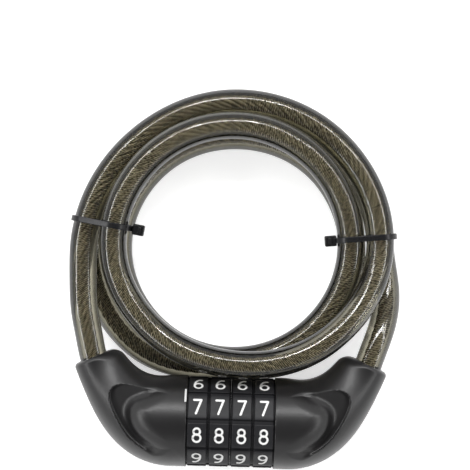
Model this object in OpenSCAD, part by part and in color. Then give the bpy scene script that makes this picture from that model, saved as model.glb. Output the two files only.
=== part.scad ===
// Combination cable lock: a barrel of four number wheels between two moulded
// elbows, and a long plastic-covered steel rope wound into a bundle behind it.
// Millimetres. X runs along the dials' axis, Y goes from the dials to the coil,
// Z points to the reader. The lock lies on the plane Z = 0.

/* [Head] */
// Outside diameter of the round barrel
head_d = 39.8; // [37:0.1:43]
// Distance from the middle of the head to the middle of a cable mouth, along X
mouth_x = 60.4; // [56:0.1:66]
// Height of a mouth's middle above the dials' axis, along Y
mouth_rise = 27; // [24:0.1:32]
// Outside diameter of an elbow at its mouth
mouth_d = 18.2; // [17:0.1:21]
// Lean of the mouths away from the Y direction
mouth_lean = 24; // [15:1:30]
// Bevel round the edge of a mouth
mouth_edge = 0.6; // [0.2:0.1:1.2]
// Length of plain round barrel on each half, beside the dials
barrel_len = 9.6; // [8:0.1:12]
// Length of the rounded nose that ends the barrel inside an elbow
nose_len = 29; // [27:0.5:31]
// Half width of that nose, seen from the front
nose_w = 17.8; // [17:0.1:18.4]
// Tilt of a nose towards its mouth
nose_tilt = 35; // [30:1:38]
// Half length of the hollow round a nose, seen from the front
hollow_len = 23.2; // [22:0.1:24.4]
// Half width of the hollow
hollow_w = 11; // [10:0.1:12]
// Depth of the hollow between a nose and its elbow
hollow_depth = 2.6; // [1:0.1:4]

/* [Dials] */
// Number of number wheels
dial_count = 4; // [3:1:4]
// Distance from one wheel to the next
dial_pitch = 9.5; // [9:0.1:10.2]
// Shift of the row of wheels from the middle of the head
dial_shift = 0.6; // [0:0.1:1.5]
// Width of the numbered rim of a wheel
rim_w = 8.1; // [7:0.1:8.6]
// Diameter over the rounded edges of the pads
rim_d = 39.1; // [37.5:0.1:39.4]
// Distance across two opposite number pads
pad_flats = 38; // [36.5:0.1:38.6]
// Width of the groove between two pads
groove_w = 1.9; // [1:0.1:2.6]
// Depth of that groove below the rounded edges
groove_depth = 1.15; // [0.5:0.05:1.8]
// Step from the flats of the pads down to the wheel's side collars
hub_step = 0.1; // [0.1:0.1:2]
// Turn of the pads past the row of gates, as the wheels stand
pad_turn = 8; // [0:1:16]
// Numbers on a wheel
numbers = 10;
// Running gap between two wheels, and between a wheel and its neighbours
side_gap = 0.1; // [0.06:0.01:0.2]

/* [Lock core] */
// Outside diameter of the core sleeve that the gate rings turn on
sleeve_d = 13; // [12:0.1:14]
// Diameter of the plug pin
plug_d = 8.2; // [7.4:0.1:9]
// Width of the slot in the sleeve
slot_w = 3.2; // [2.6:0.1:3.6]
// Reach of the sleeve into the left half
sleeve_seat = 15.6; // [12:0.1:17]
// Outside diameter of the collar that keeps the wheels on the sleeve
collar_d = 20; // [18:0.1:24]
// Thickness of that collar
collar_w = 2.35; // [1.5:0.05:3]
// Outside diameter of a gate ring
ring_d = 23.8; // [22:0.1:26]
// Height of the splines on a gate ring
spline_h = 0.6; // [0.4:0.05:1]
// Width of those splines
spline_w = 1.2; // [0.8:0.1:1.6]
// Reach of the plug's lugs from the axis
lug_reach = 8.2; // [7.6:0.1:9]
// Length of a lug along the plug
lug_len = 2.6; // [2:0.1:3]
// Width of a gate ring's chamber, where its lug stands when locked
chamber_w = 4; // [3.6:0.1:5]
// Play that a lug has in its chamber on each side
lug_play = 0.7; // [0.4:0.05:0.8]
// Reach of the plug pin past the first wheel
plug_nose = 2.6; // [1:0.1:3.5]
// Reach of the plug pin into the right half
plug_seat = 18.4; // [14:0.1:20]
// Running clearance of a shaft in its bore, on the radius
run_gap = 0.1; // [0.05:0.01:0.15]
// Clearance of a sliding or seated piece, on the radius or the side
fit_gap = 0.05; // [0.02:0.01:0.1]
// Thickness of the detent spring's strip
strip_t = 0.4; // [0.2:0.05:0.6]
// Width of the detent spring's strip
strip_w = 3; // [2:0.1:3.4]
// Radius of the pressed ribs on the detent spring
bump_r = 0.9; // [0.6:0.05:1.1]
// Length of those ribs
bump_len = 3; // [2:0.1:4]
// Diameter of the roll pins
pin_d = 3; // [2:0.1:3.5]
// Depth of the roll pins' ends below the skin at the back
pin_sink = 1.5; // [0.5:0.1:3]

/* [Cable] */
// Outside diameter of the cable's plastic cover
cable_d = 12; // [10:0.1:12]
// Diameter of the steel rope inside it
rope_d = 4.2; // [4:0.1:6]
// Gap between the strands of the bundle
strand_gap = 0.5; // [0.45:0.05:1]
// Length of cover that each elbow takes in
cable_seat = 13; // [8:0.5:14]
// Lean of the cable's seat away from the Y direction
cable_lean = 17; // [12:1:22]
// Clearance round the cable in its mouth
cable_gap = 0.25; // [0.2:0.05:0.5]
// Outside diameter of the steel ferrule on each end of the rope
ferrule_d = 9; // [8:0.1:10]
// Length of a ferrule
ferrule_len = 14; // [12:0.5:16]
// Length of bare rope that is crimped in a ferrule
crimp_len = 8; // [6:0.5:9]

/* [Bundle] */
// Radius of the bundle's inmost strands, at their middle
bundle_r = 51; // [48:0.5:56]
// Distance from the dials' axis to the middle of the bundle
bundle_rise = 76.3; // [75.5:0.1:82]
// Shift of the bundle's middle along X
bundle_shift = 0.4; // [0:0.1:1]

/* [Ties] */
// Width of a tie's strap
tie_w = 2.5; // [2:0.1:4]
// Thickness of a tie's strap
tie_t = 1.1; // [0.8:0.1:1.4]
// Clearance of a strap round the strands
tie_gap = 0.3; // [0.1:0.05:0.4]
// Size of a tie's head, across the strap
tie_head_w = 4.8; // [4:0.1:6]
// Size of a tie's head, along the strap
tie_head_l = 5.2; // [4:0.1:6]

/* [Hidden] */
$fn = 48;
head_r = head_d / 2;
lean_out = [sin(mouth_lean), cos(mouth_lean)];
top_rise = mouth_rise + (mouth_d / 2 - mouth_edge) * sin(mouth_lean);
axis_y = -(top_rise - head_r) / 2;
axis_z = head_r;
block_w = dial_count * dial_pitch;
block_x0 = dial_shift - block_w / 2;
block_x1 = dial_shift + block_w / 2;
turn = 360 / numbers;

// where each half's plain barrel ends, as far from the middle on both sides
bar_end = block_w / 2 + barrel_len;

sleeve_r = sleeve_d / 2;
sleeve_bore = plug_d / 2 + fit_gap;
collar_x0 = block_x1 + side_gap / 2;
collar_x1 = collar_x0 + collar_w;
sleeve_x0 = block_x0 - sleeve_seat;
gate_r = sleeve_r + run_gap;
chamber_r = lug_reach + 0.4;
gate_reach = lug_reach + 0.2;
ring_r = ring_d / 2;
hub_w = dial_pitch - side_gap;
hub_r = pad_flats / 2 - hub_step;
lug_w = slot_w - 2 * run_gap;
plug_x0 = block_x0 - plug_nose;
plug_x1 = block_x1 + plug_seat;
web_mid = (hub_w + chamber_w) / 2;
strip_r = sleeve_r - 0.5 - strip_t;
strip_mid = strip_r + strip_t / 2;
notch_side = 1.6;
notch_reach = strip_mid + (bump_r + run_gap) * sqrt(2);
strip_x0 = block_x0 + side_gap;
strip_x1 = block_x1 - side_gap;

core_pin_x = block_x0 - sleeve_seat * 0.62;
plug_pin_x = block_x1 + plug_seat * 0.56;
core_pin_reach = sleeve_r + 2;
plug_pin_reach = plug_d / 2 + 3.5;

mouth_at = [mouth_x, axis_y + mouth_rise, axis_z];
seat_out = [sin(cable_lean), cos(cable_lean), 0];
rope_bore = rope_d / 2 + fit_gap;
ferrule_at = cable_seat;
ferrule_end = cable_seat + ferrule_len;
cable_pin_s = ferrule_at + (crimp_len + ferrule_len) / 2 + 0.3;
cable_pin_reach = ferrule_d / 2 + 2;

// ---- elbow loft: a curved, tapering tube from the barrel to the mouth ----
elbow_from = [bar_end - 5, 0];
elbow_bend = [bar_end + 13, 0];
elbow_mouth = [mouth_x, mouth_rise];
elbow_pull = elbow_mouth - 14 * lean_out;
function bez(t) = elbow_from * pow(1 - t, 3) + 3 * elbow_bend * pow(1 - t, 2) * t
    + 3 * elbow_pull * (1 - t) * t * t + elbow_mouth * pow(t, 3);
function bez_dir(t) = let (
        d = 3 * (elbow_bend - elbow_from) * pow(1 - t, 2)
            + 6 * (elbow_pull - elbow_bend) * (1 - t) * t
            + 3 * (elbow_mouth - elbow_pull) * t * t)
    d / norm(d);
function half_w(t) = mouth_d / 2 + (head_r - 0.05 - mouth_d / 2) * (1 - pow(t, 1.3));
function half_h(t) = mouth_d / 2
    + (head_r - 0.05 - mouth_d / 2) * (1 + cos(180 * max(0, (t - 0.08) / 0.92))) / 2;
elbow_steps = 12;
elbow_sides = 28;
// one oval ring: middle, direction in the XY plane, half width, half height
function oval(c, d, w, h) = [for (k = [0 : elbow_sides - 1])
    let (a = 360 * k / elbow_sides)
    [c[0] + w * cos(a) * d[1], c[1] - w * cos(a) * d[0], h * sin(a)]];
function elbow_oval(t, sink) = oval(bez(t), bez_dir(t), half_w(t) - sink / 4,
    half_h(t) - sink);
elbow_rings = concat(
    [for (i = [0 : elbow_steps - 1]) elbow_oval(i / elbow_steps, 0)],
    [oval(elbow_mouth - mouth_edge * lean_out, lean_out, mouth_d / 2, mouth_d / 2),
    oval(elbow_mouth, lean_out, mouth_d / 2 - mouth_edge, mouth_d / 2 - mouth_edge)]);
// the sunk floor of the hollow round the nose follows the same curve
floor_rings = [for (i = [0 : 7]) elbow_oval(0.04 + i * 0.1, hollow_depth)];

// ---- sweeping rings into closed triangle bodies ----
function side_faces(rings, n, off, out) = [for (i = [0 : rings - 2], k = [0 : n - 1])
    let (a = off + i * n + k, b = off + i * n + (k + 1) % n, c = a + n, d = b + n)
    each (out ? [[a, c, b], [b, c, d]] : [[a, b, c], [b, d, c]])];
function fan(n, off, out) = [for (k = [1 : n - 2])
    out ? [off, off + k, off + k + 1] : [off, off + k + 1, off + k]];
function flat(v) = [for (a = v, b = a) b];

module loft(rings, n) {
    m = len(rings);
    polyhedron(points = flat(rings), faces = concat(side_faces(m, n, 0, false),
        fan(n, 0, false), fan(n, (m - 1) * n, true)));
}

// ring of n corners round p, square to the direction t
function ring(p, t, r, n) = let (
        a = cross([0, 0, 1], t),
        u = a / norm(a),
        v = cross(t, u) / norm(t))
    [for (k = [0 : n - 1]) p + r * (cos(360 * k / n) * u + sin(360 * k / n) * v)];

// tube along points with directions; ri = 0 makes it solid
module tube(p, t, ro, ri, n) {
    m = len(p);
    outer = [for (i = [0 : m - 1]) ring(p[i], t[i], ro, n)];
    if (ri == 0) {
        polyhedron(points = flat(outer), faces = concat(side_faces(m, n, 0, true),
            fan(n, 0, true), fan(n, (m - 1) * n, false)));
    } else {
        inner = [for (i = [0 : m - 1]) ring(p[i], t[i], ri, n)];
        off = m * n;
        e = (m - 1) * n;
        caps = [for (k = [0 : n - 1]) let (j = (k + 1) % n) each [
            [k, j, off + k], [j, off + j, off + k],
            [e + k, off + e + k, e + j], [e + j, off + e + k, off + e + j]]];
        polyhedron(points = concat(flat(outer), flat(inner)), faces = concat(
            side_faces(m, n, 0, true), side_faces(m, n, off, false), caps));
    }
}

// ---- the bundle: 3.5 loops in two columns and up to three layers ----
strand = cable_d + strand_gap;
bundle_z = cable_d / 2 + tie_gap + tie_t;
bundle_x = bundle_shift;
bundle_y = axis_y + bundle_rise;
// column and layer of the strand at each eighth of a turn, from -90 degrees on
lie = [
    [2.2, 1], [1.6, 1], [1.25, 1], [1.01, 1], [1.04, 1], [1.06, 1.02],
    [0.98, 1.24], [0.4, 1.95], [-0.1, 2], [-0.07, 1.64],
    [0.19, 1.42], [0.22, 1.64], [0.2, 1.58], [0.1, 1.34],
    [-0.02, 1.04], [-0.12, 0.96], [-0.14, 1], [-0.03, 0.58],
    [0.08, 0.28], [0.01, 0], [-0.06, 0], [0.04, 0],
    [0.12, 0], [0.3, 0], [0.15, 0], [0.9, 0],
    [1.08, 0], [1.04, 0], [1, 0], [1.07, 0],
    [1.14, 0], [1.6, 0.1], [2.2, 0.3]];
function smooth4(a, b, c, d, s) = 0.5 * (2 * b + (c - a) * s
    + (2 * a - 5 * b + 4 * c - d) * s * s + (3 * b - a - 3 * c + d) * s * s * s);
function lie_at(phi) = let (
        i = floor((phi + 90) / 45),
        s = (phi + 90) / 45 - i,
        q = smooth4(lie[i - 1], lie[i], lie[i + 1], lie[i + 2], s))
    [q[0], max(0, q[1])];
function wound(phi) = let (q = lie_at(phi), r = bundle_r + strand * q[0])
    [bundle_x - r * cos(phi), bundle_y + r * sin(phi), bundle_z + strand * q[1]];
function unit(v) = v / norm(v);
function wound_dir(phi) = unit(wound(phi + 2) - wound(phi - 2));
wind_from = -6;
wind_step = 15;
wind_rings = 84;
wind_to = wind_from + wind_step * wind_rings;
dir_in = wound_dir(wind_from);
dir_out = wound_dir(wind_to);
coil_in = wound(wind_from) - cable_d * dir_in;
coil_out = wound(wind_to) + cable_d * dir_out;
coil_p = concat([coil_in], [for (i = [0 : wind_rings]) wound(wind_from + i * wind_step)],
    [coil_out]);
coil_t = concat([dir_in], [for (i = [0 : wind_rings]) wound_dir(wind_from + i * wind_step)],
    [dir_out]);

// least gap of the bundle to itself, on points of its centre line
probe = [for (i = [0 : 2 : 1259]) wound(wind_from + i)];
near = [for (i = [0 : len(probe) - 1]) min(concat([999],
    [for (j = [i + 60 : 1 : len(probe) - 1]) norm(probe[i] - probe[j])]))];
function total(v, i = 0, s = 0) = i > len(v) - 2 ? s
    : total(v, i + 1, s + norm(v[i + 1] - v[i]));
echo(least_gap_of_the_bundle_to_itself = min(near) - cable_d);

// ---- free leads from each mouth to the bundle ----
mouth_l = [-mouth_at[0], mouth_at[1], mouth_at[2]];
out_l = [-seat_out[0], seat_out[1], 0];
lead_l = concat([mouth_l - cable_seat * out_l, mouth_l + 2 * out_l],
    [[-62.9, 32, 19.9], [-65, 42, 19.9]], [coil_in]);
lead_r = concat([mouth_at - cable_seat * seat_out, mouth_at + 2 * seat_out],
    [[65, 34.5, 17.6], [67.9, 45, 13], [68.3, 55.5, 9]], [coil_out]);
function along(p, first, last) = [for (i = [0 : len(p) - 1])
    i < 2 ? first : i == len(p) - 1 ? last : unit(p[i + 1] - p[i - 1])];
lead_l_t = along(lead_l, out_l, dir_in);
lead_r_t = along(lead_r, seat_out, -dir_out);
echo(cable_length = total(coil_p) + total(lead_l) + total(lead_r));

black = [0.07, 0.07, 0.075];
steel = [0.62, 0.63, 0.65];

// puts a body of revolution that was drawn along Z on the dials' axis, from x on
module on_axis(x) {
    translate([x, axis_y, axis_z]) rotate([0, 90, 0]) children();
}

// a rod along the axis from x0 to x1
module rod(x0, x1, r) {
    on_axis(x0) cylinder(h = x1 - x0, r = r);
}

// a rod along the cable seat of the right elbow, from depth s0 to depth s1
module seat_rod(s0, s1, r) {
    translate(mouth_at - s1 * seat_out) rotate([0, 0, -cable_lean]) rotate([-90, 0, 0])
        cylinder(h = s1 - s0, r = r);
}

module mirror_x(on) {
    if (on) mirror([1, 0, 0]) children();
    else children();
}

// nose: an egg that leans towards the mouth, cut off inside the barrel
nose_dir = [cos(nose_tilt), sin(nose_tilt)];
nose_rings = [for (a = [-48 : 12 : 84])
    oval([bar_end, 0] + (a < 0 ? nose_w : nose_len) * sin(a) * nose_dir, nose_dir,
        nose_w * cos(a), (head_r - 0.25) * cos(a))];
module nose() intersection() {
    loft(nose_rings, elbow_sides);
    translate([bar_end - barrel_len / 2, -head_d, -head_d])
        cube([head_d * 2, head_d * 2, head_d * 2]);
}

// plan of the hollow round the nose
module hollow_plan() {
    translate([bar_end + 3.3, 0.2]) rotate([0, 0, nose_tilt])
        scale([hollow_len / hollow_w, 1]) circle(r = hollow_w, $fn = 72);
}

// outside of the right half, about the dials' axis, with its barrel from x0 on
module half_skin(x0) {
    difference() {
        loft(elbow_rings, elbow_sides);
        translate([0, 0, -30]) linear_extrude(60) hollow_plan();
    }
    loft(floor_rings, elbow_sides);
    nose();
    rotate([0, 90, 0]) translate([0, 0, x0]) cylinder(h = bar_end + 2.4 - x0, r = head_r);
}

cable_pin_at = mouth_at - cable_pin_s * seat_out;
module cable_pin_rod(z0, z1, r) {
    translate([cable_pin_at[0], cable_pin_at[1], z0]) cylinder(h = z1 - z0, r = r);
}
cable_pin_z0 = axis_z - half_h(0.5) + 1 + pin_sink;
core_pin_z0 = pin_sink;

module cable_seat_cuts() {
    seat_rod(-6, cable_seat, cable_d / 2 + cable_gap);
    seat_rod(cable_seat - 1, ferrule_end + fit_gap, ferrule_d / 2 + fit_gap);
    cable_pin_rod(-1, axis_z + cable_pin_reach + fit_gap, pin_d / 2 + fit_gap);
}

module cross_pin(x, z0, z1, r) {
    translate([x, axis_y, z0]) cylinder(h = z1 - z0, r = r);
}

module left_housing() color(black) difference() {
    mirror([1, 0, 0]) difference() {
        translate([0, axis_y, axis_z]) half_skin(-block_x0);
        cable_seat_cuts();
    }
    rod(sleeve_x0 - fit_gap, block_x0 + 1, sleeve_r + fit_gap);
    cross_pin(core_pin_x, -1, axis_z + core_pin_reach + fit_gap, pin_d / 2 + fit_gap);
    mark_bar(fit_gap);
}

module right_housing() color(black) difference() {
    translate([0, axis_y, axis_z]) half_skin(block_x1);
    cable_seat_cuts();
    rod(block_x1 - 1, plug_x1 + fit_gap, plug_d / 2 + fit_gap);
    rod(block_x1 - 1, collar_x1 + side_gap, collar_d / 2 + run_gap);
    cross_pin(plug_pin_x, -1, axis_z + plug_pin_reach + fit_gap, pin_d / 2 + fit_gap);
}

// the white bar on the left half that shows which row of numbers counts
mark_at = 41;
mark_len = 6.5;
mark_w = 0.8;
module mark_bar(gap) {
    translate([block_x0 - mark_w, axis_y, axis_z]) rotate([-mark_at, 0, 0])
        translate([-0.15 - gap, -mark_len / 2 - gap, head_r - 1.1 - gap])
            cube([mark_w + 2 * gap, mark_len + 2 * gap, 3]);
}

module index_mark() color([0.93, 0.93, 0.92]) intersection() {
    mark_bar(0);
    on_axis(block_x0 - 5) cylinder(h = 10, r = head_r, $fn = 360);
}

// slot and spring groove run along the sleeve on opposite sides
module core_sleeve() color(steel) difference() {
    rod(sleeve_x0, collar_x1, sleeve_r);
    rod(sleeve_x0 - 1, collar_x1 + 1, sleeve_bore);
    translate([plug_x0 - fit_gap, axis_y - slot_w / 2, axis_z])
        cube([collar_x1 - plug_x0 + 2, slot_w, sleeve_r + 2]);
    translate([strip_x0 - fit_gap, axis_y - strip_w / 2 - run_gap,
            axis_z - sleeve_r - 2])
        cube([strip_x1 - strip_x0 + 2 * fit_gap, strip_w + 2 * run_gap,
            2 + sleeve_r - strip_r + fit_gap]);
    cross_pin(core_pin_x, axis_z - 20, axis_z + 20, pin_d / 2 + fit_gap);
}

module core_collar() color(steel) difference() {
    rod(collar_x0, collar_x1, collar_d / 2);
    rod(collar_x0 - 1, collar_x1 + 1, sleeve_r + fit_gap / 2);
    translate([collar_x0 - 1, axis_y - slot_w / 2, axis_z])
        cube([collar_w + 2, slot_w, chamber_r]);
}

module plug_pin() color(steel) difference() {
    union() {
        rod(plug_x0 + 1, plug_x1, plug_d / 2);
        on_axis(plug_x0) cylinder(h = 1, r1 = plug_d / 2 - 1, r2 = plug_d / 2);
        for (i = [0 : dial_count - 1])
            translate([block_x0 + side_gap / 2 + i * dial_pitch + lug_play,
                    axis_y - lug_w / 2, axis_z])
                cube([lug_len, lug_w, lug_reach]);
    }
    cross_pin(plug_pin_x, axis_z - 20, axis_z + 20, pin_d / 2 + fit_gap);
}

// a flat strip with one pressed rib for each gate ring
module detent_spring() color(steel) {
    translate([strip_x0, axis_y - strip_w / 2, axis_z - strip_r - strip_t])
        cube([strip_x1 - strip_x0, strip_w, strip_t]);
    for (i = [0 : dial_count - 1])
        translate([block_x0 + side_gap / 2 + i * dial_pitch + web_mid - bump_len / 2,
                axis_y, axis_z - strip_mid])
            difference() {
                rotate([0, 90, 0]) cylinder(h = bump_len, r = bump_r);
                translate([-1, -5, 0]) cube([bump_len + 2, 10, 5]);
            }
}

// number wheel: ten flat pads, dark grooves between them, and side collars
module number_wheel(i) color(black)
    on_axis(block_x0 + side_gap / 2 + i * dial_pitch) difference() {
        union() {
            cylinder(h = hub_w, r = hub_r);
            translate([0, 0, (hub_w - rim_w) / 2]) intersection() {
                cylinder(h = rim_w, r = rim_d / 2);
                rotate([0, 0, -pad_turn])
                    cylinder(h = rim_w, r = pad_flats / 2 / cos(turn / 2), $fn = numbers);
            }
        }
        for (k = [0 : numbers - 1]) rotate([0, 0, k * turn - pad_turn])
            translate([rim_d / 2 - groove_depth, -groove_w / 2, -1])
                cube([5, groove_w, hub_w + 2]);
        translate([0, 0, -1]) cylinder(h = hub_w + 2, r = ring_r + fit_gap);
        for (k = [0 : numbers - 1]) rotate([0, 0, k * turn])
            translate([0, -spline_w / 2 - fit_gap, -1])
                cube([ring_r + spline_h + fit_gap, spline_w + 2 * fit_gap, hub_w + 2]);
    }

// gate ring: a chamber, then a web with one gate for the lug and ten notches
module gate_ring(i) color(steel)
    on_axis(block_x0 + side_gap / 2 + i * dial_pitch) difference() {
        union() {
            cylinder(h = hub_w, r = ring_r);
            for (k = [0 : numbers - 1]) rotate([0, 0, k * turn])
                translate([0, -spline_w / 2, 0])
                    cube([ring_r + spline_h, spline_w, hub_w]);
        }
        translate([0, 0, -1]) cylinder(h = hub_w + 2, r = gate_r);
        translate([0, 0, -1]) cylinder(h = chamber_w + 1, r = chamber_r);
        translate([-gate_reach, -slot_w / 2 - run_gap, -1])
            cube([gate_reach, slot_w + 2 * run_gap, hub_w + 2]);
        for (k = [0 : numbers - 1]) rotate([0, 0, k * turn])
            translate([notch_reach - notch_side / sqrt(2), 0, chamber_w - 1])
                rotate([0, 0, 45]) translate([-notch_side / 2, -notch_side / 2, 0])
                    cube([notch_side, notch_side, hub_w]);
    }

module ferrule(right) color(steel) mirror_x(!right) difference() {
    seat_rod(ferrule_at, ferrule_end, ferrule_d / 2);
    seat_rod(ferrule_at - 1, ferrule_at + crimp_len + fit_gap, rope_bore);
    cable_pin_rod(0, 2 * head_r, pin_d / 2 + fit_gap);
}

module roll_pin(r, len) {
    difference() {
        cylinder(h = len, r = r);
        translate([0, 0, -1]) cylinder(h = len + 2, r = r * 0.55);
        translate([0, -0.25, -1]) cube([r + 1, 0.5, len + 2]);
    }
}

module left_roll_pins() color(steel) {
    translate([core_pin_x, axis_y, core_pin_z0])
        roll_pin(pin_d / 2, axis_z + core_pin_reach - core_pin_z0);
    translate([-cable_pin_at[0], cable_pin_at[1], cable_pin_z0])
        roll_pin(pin_d / 2, axis_z + cable_pin_reach - cable_pin_z0);
}

module right_roll_pins() color(steel) {
    translate([plug_pin_x, axis_y, core_pin_z0])
        roll_pin(pin_d / 2, axis_z + plug_pin_reach - core_pin_z0);
    translate([cable_pin_at[0], cable_pin_at[1], cable_pin_z0])
        roll_pin(pin_d / 2, axis_z + cable_pin_reach - cable_pin_z0);
}

module cable_coil() color([0.2, 0.19, 0.16])
    tube(coil_p, coil_t, cable_d / 2, rope_bore, 6);

module rope_coil() color([0.45, 0.42, 0.33])
    tube(coil_p, coil_t, rope_d / 2, 0, 6);

module left_cable_lead() color([0.2, 0.19, 0.16])
    tube(lead_l, lead_l_t, cable_d / 2, rope_bore, 12);

module right_cable_lead() color([0.2, 0.19, 0.16])
    tube(lead_r, lead_r_t, cable_d / 2, rope_bore, 12);

// the rope goes on past the end of the cover into its ferrule
module left_rope_lead() color([0.45, 0.42, 0.33])
    tube(concat([lead_l[0] - crimp_len * out_l], lead_l), concat([out_l], lead_l_t),
        rope_d / 2, 0, 12);

module right_rope_lead() color([0.45, 0.42, 0.33])
    tube(concat([lead_r[0] - crimp_len * seat_out], lead_r),
        concat([seat_out], lead_r_t), rope_d / 2, 0, 12);

// strap drawn round the four strands that cross the half plane at angle a
module tie(a) {
    strands = [for (k = [0 : 3]) let (q = lie_at(a + 360 * k))
        [bundle_r + strand * q[0], bundle_z + strand * q[1]]];
    inner = min([for (s = strands) s[0]]) - cable_d / 2 - tie_gap - tie_t;
    top = max([for (s = strands) s[1]]);
    translate([bundle_x, bundle_y, 0]) rotate([0, 0, 180 - a]) {
        translate([0, tie_w / 2, 0]) rotate([90, 0, 0]) linear_extrude(tie_w)
            difference() {
                hull() for (s = strands)
                    translate(s) circle(r = cable_d / 2 + tie_gap + tie_t, $fn = 24);
                hull() for (s = strands)
                    translate(s) circle(r = cable_d / 2 + tie_gap, $fn = 24);
            }
        translate([inner + tie_t - tie_head_l, -tie_head_w / 2, top - 5.5])
            cube([tie_head_l, tie_head_w, 5]);
    }
}

tie_l_at = 9;
tie_r_at = 174;
module left_tie() color(black) tie(tie_l_at);

module right_tie() color(black) tie(tie_r_at);

left_housing();
right_housing();
core_sleeve();
core_collar();
plug_pin();
detent_spring();
index_mark();
number_wheel(0);  // number_wheel_1
number_wheel(1);  // number_wheel_2
number_wheel(2);  // number_wheel_3
number_wheel(3);  // number_wheel_4
gate_ring(0);  // gate_ring_1
gate_ring(1);  // gate_ring_2
gate_ring(2);  // gate_ring_3
gate_ring(3);  // gate_ring_4
ferrule(false);  // left_ferrule
ferrule(true);  // right_ferrule
left_roll_pins();
right_roll_pins();
cable_coil();
rope_coil();
left_cable_lead();
left_rope_lead();
right_cable_lead();
right_rope_lead();
left_tie();
right_tie();
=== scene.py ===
"""Combination cable lock: two moulded halves, four number wheels, and a tied bundle of cable.

All lengths here are in millimetres, in the frame of the CAD, until a mesh is made of them.
"""

import math

import bpy
import numpy as np
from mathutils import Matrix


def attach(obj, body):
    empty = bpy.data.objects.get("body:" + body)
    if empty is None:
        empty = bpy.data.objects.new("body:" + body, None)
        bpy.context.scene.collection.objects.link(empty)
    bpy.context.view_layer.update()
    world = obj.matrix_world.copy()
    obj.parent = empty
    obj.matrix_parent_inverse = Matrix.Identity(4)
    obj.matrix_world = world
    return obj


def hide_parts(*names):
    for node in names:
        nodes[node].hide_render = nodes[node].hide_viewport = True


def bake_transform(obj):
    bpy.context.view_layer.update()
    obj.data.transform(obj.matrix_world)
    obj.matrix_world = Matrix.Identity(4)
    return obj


MM = 0.001
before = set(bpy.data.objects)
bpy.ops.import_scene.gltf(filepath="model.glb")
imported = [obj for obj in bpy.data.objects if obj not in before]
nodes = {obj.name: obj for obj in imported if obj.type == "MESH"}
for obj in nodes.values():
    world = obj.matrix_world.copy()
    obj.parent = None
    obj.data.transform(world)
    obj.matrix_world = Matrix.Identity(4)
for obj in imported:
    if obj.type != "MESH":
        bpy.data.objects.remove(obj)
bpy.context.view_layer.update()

AXIS_Y, AXIS_Z = -5.279, 19.9  # the wheels' axis
HEAD_R = 19.9
BLOCK_X = (-18.4, 19.6)  # the row of wheels
BAR_END = 28.6  # where the plain barrel ends, on both sides
MOUTH_X, MOUTH_RISE, MOUTH_R, MOUTH_LEAN = 60.4, 27.0, 9.1, math.radians(24)
SEAT_LEAN = math.radians(17)
SEAT_OUT = np.array([math.sin(SEAT_LEAN), math.cos(SEAT_LEAN), 0])
MOUTH_AT = np.array([MOUTH_X, AXIS_Y + MOUTH_RISE, AXIS_Z])


# ---------------------------------------------------------------- camera
CAMERA_X, CAMERA_Y, CAMERA_Z, CAMERA_ROLL = 0.135, 76.84, 593.0, 1.7
PLANE_Z, PLANE_W = 18.0, 207.3  # the image is 207 mm wide at z = 18
camera = bpy.data.objects.new("camera", bpy.data.cameras.new("camera"))
bpy.context.scene.collection.objects.link(camera)
camera.location = (CAMERA_X * MM, CAMERA_Y * MM, CAMERA_Z * MM)
camera.rotation_euler = (0, 0, math.radians(CAMERA_ROLL))
camera.data.sensor_width, camera.data.sensor_fit = 36, "HORIZONTAL"
camera.data.lens = 36 * (CAMERA_Z - PLANE_Z) / PLANE_W
camera.data.clip_start = 0.02
bpy.context.scene.camera = camera


# ---------------------------------------------------------------- mesh helpers
def make_object(name, points, faces, smooth_angle=None, normals=None):
    """A mesh object from points in millimetres. Edges sharper than the angle stay sharp;
    normals, one for each face corner, are used in place of the angle."""
    mesh = bpy.data.meshes.new(name)
    mesh.from_pydata((np.asarray(points, float) * MM).tolist(), [], faces)
    mesh.update()
    if normals is not None:
        mesh.shade_smooth()
        mesh.normals_split_custom_set(normals.tolist())
    elif smooth_angle is not None:
        mesh.shade_smooth()
        if smooth_angle < 180:
            mesh.set_sharp_from_angle(angle=math.radians(smooth_angle))
    obj = bpy.data.objects.new(name, mesh)
    bpy.context.scene.collection.objects.link(obj)
    return obj


# four even directions, which give a slope with four readings
TETRA = np.array([(1, -1, -1), (-1, -1, 1), (-1, 1, -1), (1, 1, 1)], float)


def slope(sdf, p, h=0.02):
    """Unit normals of the surface at p."""
    g = sum(k * sdf(p + h * k)[:, None] for k in TETRA)
    return g / (np.linalg.norm(g, axis=1, keepdims=True) + 1e-12)


def sum_by(owner, rows, m):
    """The sum of the rows that each of m owners has."""
    return np.stack([np.bincount(owner, column, m) for column in rows.T], 1)


PULL = 0.06  # towards the middle of a cell's crossings, where its planes leave a point free
OVERHANG = 0.1  # how far a point may leave its cell, in steps
SMOOTH_TURN = 0.985  # a cell whose mean normal is shorter than this holds an edge
EVEN_ROUNDS, EVEN_SHARE = 3, 0.6


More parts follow.
